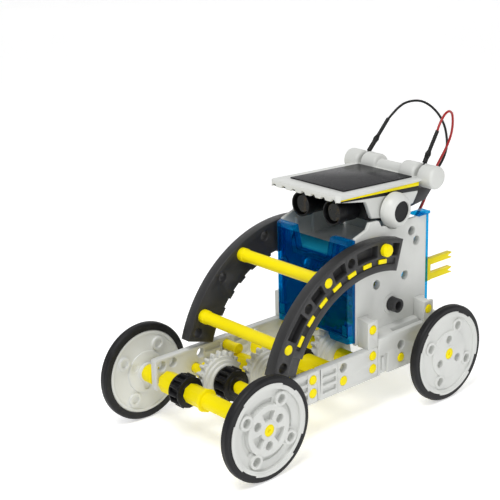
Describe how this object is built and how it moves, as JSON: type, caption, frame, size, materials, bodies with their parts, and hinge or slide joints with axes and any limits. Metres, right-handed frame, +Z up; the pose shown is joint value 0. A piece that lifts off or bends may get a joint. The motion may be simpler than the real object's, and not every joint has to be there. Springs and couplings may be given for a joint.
{
  "type": "solar robot kit",
  "caption": "Four-wheeled toy car built from clip-together beams, with a gear train, clear gearbox covers, side arches and a tilting solar panel head.",
  "frame": {"origin": "midway along the length and the width, without the wires, on the surface the wheels stand on", "axes": "+Z up, the front with the eyes looks along -Y, +X towards the robot's left"},
  "size_m": [0.0984, 0.1979, 0.1453],
  "materials": {
    "white_plastic": "satin moulded plastic",
    "clear_blue_plastic": "clear tinted plastic",
    "yellow_plastic": "satin moulded plastic",
    "dark_grey_plastic": "matt moulded plastic",
    "black_plastic": "satin moulded plastic",
    "black_rubber": "matt rubber",
    "steel": "plain steel",
    "solar_cell": "glossy resin over the cell",
    "lens": "glossy lens",
    "black_insulation": "flexible insulation",
    "red_insulation": "flexible insulation"
  },
  "bodies": {
    "chassis": {"beam_front_left": "white_plastic", "beam_front_right": "white_plastic", "beam_rear_left": "white_plastic", "beam_rear_right": "white_plastic", "cradle": "white_plastic", "gearbox_side_left": "white_plastic", "gearbox_side_right": "white_plastic", "gearbox_deck": "white_plastic", "front_cover": "clear_blue_plastic", "rear_cover": "clear_blue_plastic", "cover_latches": "white_plastic", "side_posts": "white_plastic", "snap_pegs": "yellow_plastic", "arch_left": "dark_grey_plastic", "arch_right": "dark_grey_plastic", "arch_inserts": "yellow_plastic", "arch_rods": "yellow_plastic", "arch_pins": "yellow_plastic", "motor_can": "steel", "tail_fork": "yellow_plastic"},
    "front_axle": {"front_axle": "yellow_plastic", "front_gear": "black_plastic", "front_sleeves": "yellow_plastic", "front_rims": "white_plastic", "front_tyres": "black_rubber"},
    "rear_axle": {"rear_axle": "yellow_plastic", "rear_rims": "white_plastic", "rear_tyres": "black_rubber"},
    "idler_a": {"idler_a_axle": "yellow_plastic", "idler_a_gear": "white_plastic", "idler_a_pinion": "black_plastic"},
    "idler_b": {"idler_b_axle": "yellow_plastic", "idler_b_gear": "white_plastic"},
    "idler_c": {"idler_c_axle": "yellow_plastic", "idler_c_pinion": "black_plastic"},
    "idler_d": {"idler_d_axle": "yellow_plastic", "idler_d_gear": "white_plastic"},
    "drive": {"drive_gear": "yellow_plastic"},
    "output": {"output_shaft": "dark_grey_plastic", "output_gear": "yellow_plastic"},
    "reduction_a": {"reduction_gear_a": "yellow_plastic"},
    "reduction_b": {"reduction_gear_b": "yellow_plastic"},
    "motor_rotor": {"motor_rotor": "steel"},
    "head": {"solar_cell": "solar_cell", "solar_frame": "white_plastic", "trim_yellow": "yellow_plastic", "trim_black": "black_plastic", "head_sides": "white_plastic", "ear_caps": "white_plastic", "neck_axle": "black_plastic", "jaw": "black_plastic", "rear_wing": "dark_grey_plastic", "eye_tubes": "black_plastic", "eye_lenses": "lens", "terminal_clips": "steel", "plug_black": "black_insulation", "plug_red": "black_insulation", "wire_black": "black_insulation", "wire_red": "red_insulation"}
  },
  "joints": [
    {"name": "front_axle_spin", "type": "hinge", "parent": "chassis", "child": "front_axle", "pos_m": [0, -0.068, 0.02575], "axis": [1, 0, 0], "continuous": true},
    {"name": "rear_axle_spin", "type": "hinge", "parent": "chassis", "child": "rear_axle", "pos_m": [0, 0.058, 0.02575], "axis": [1, 0, 0], "continuous": true},
    {"name": "idler_a_spin", "type": "hinge", "parent": "chassis", "child": "idler_a", "pos_m": [0, -0.047, 0.02575], "axis": [1, 0, 0], "continuous": true},
    {"name": "idler_b_spin", "type": "hinge", "parent": "chassis", "child": "idler_b", "pos_m": [0, -0.026, 0.02575], "axis": [1, 0, 0], "continuous": true},
    {"name": "idler_c_spin", "type": "hinge", "parent": "chassis", "child": "idler_c", "pos_m": [0, -0.005, 0.02575], "axis": [1, 0, 0], "continuous": true},
    {"name": "idler_d_spin", "type": "hinge", "parent": "chassis", "child": "idler_d", "pos_m": [0, 0.016, 0.02575], "axis": [1, 0, 0], "continuous": true},
    {"name": "drive_spin", "type": "hinge", "parent": "chassis", "child": "drive", "pos_m": [0, 0.023, 0.04555], "axis": [1, 0, 0], "continuous": true},
    {"name": "output_spin", "type": "hinge", "parent": "chassis", "child": "output", "pos_m": [0, 0.037, 0.05355], "axis": [1, 0, 0], "continuous": true},
    {"name": "reduction_a_spin", "type": "hinge", "parent": "chassis", "child": "reduction_a", "pos_m": [0, 0.0363, 0.06845], "axis": [1, 0, 0], "continuous": true},
    {"name": "reduction_b_spin", "type": "hinge", "parent": "chassis", "child": "reduction_b", "pos_m": [0, 0.0465, 0.07075], "axis": [1, 0, 0], "continuous": true},
    {"name": "motor_spin", "type": "hinge", "parent": "chassis", "child": "motor_rotor", "pos_m": [0, 0.0525, 0.06275], "axis": [1, 0, 0], "continuous": true},
    {"name": "head_tilt", "type": "hinge", "parent": "chassis", "child": "head", "pos_m": [0, 0.04, 0.10275], "axis": [1, 0, 0], "range_deg": [-15, 2], "deforming": ["wire_black", "wire_red"]}
  ],
  "couplings": [
    {"joint": "idler_a_spin", "follows": "front_axle_spin", "ratio": -0.57143},
    {"joint": "idler_b_spin", "follows": "front_axle_spin", "ratio": 0.32653},
    {"joint": "idler_c_spin", "follows": "front_axle_spin", "ratio": -0.57143},
    {"joint": "idler_d_spin", "follows": "front_axle_spin", "ratio": 0.32653},
    {"joint": "drive_spin", "follows": "front_axle_spin", "ratio": -0.57143},
    {"joint": "output_spin", "follows": "front_axle_spin", "ratio": 0.34286},
    {"joint": "reduction_a_spin", "follows": "front_axle_spin", "ratio": -1.2343},
    {"joint": "reduction_b_spin", "follows": "front_axle_spin", "ratio": 4.9371},
    {"joint": "motor_spin", "follows": "front_axle_spin", "ratio": -19.749}
  ]
}
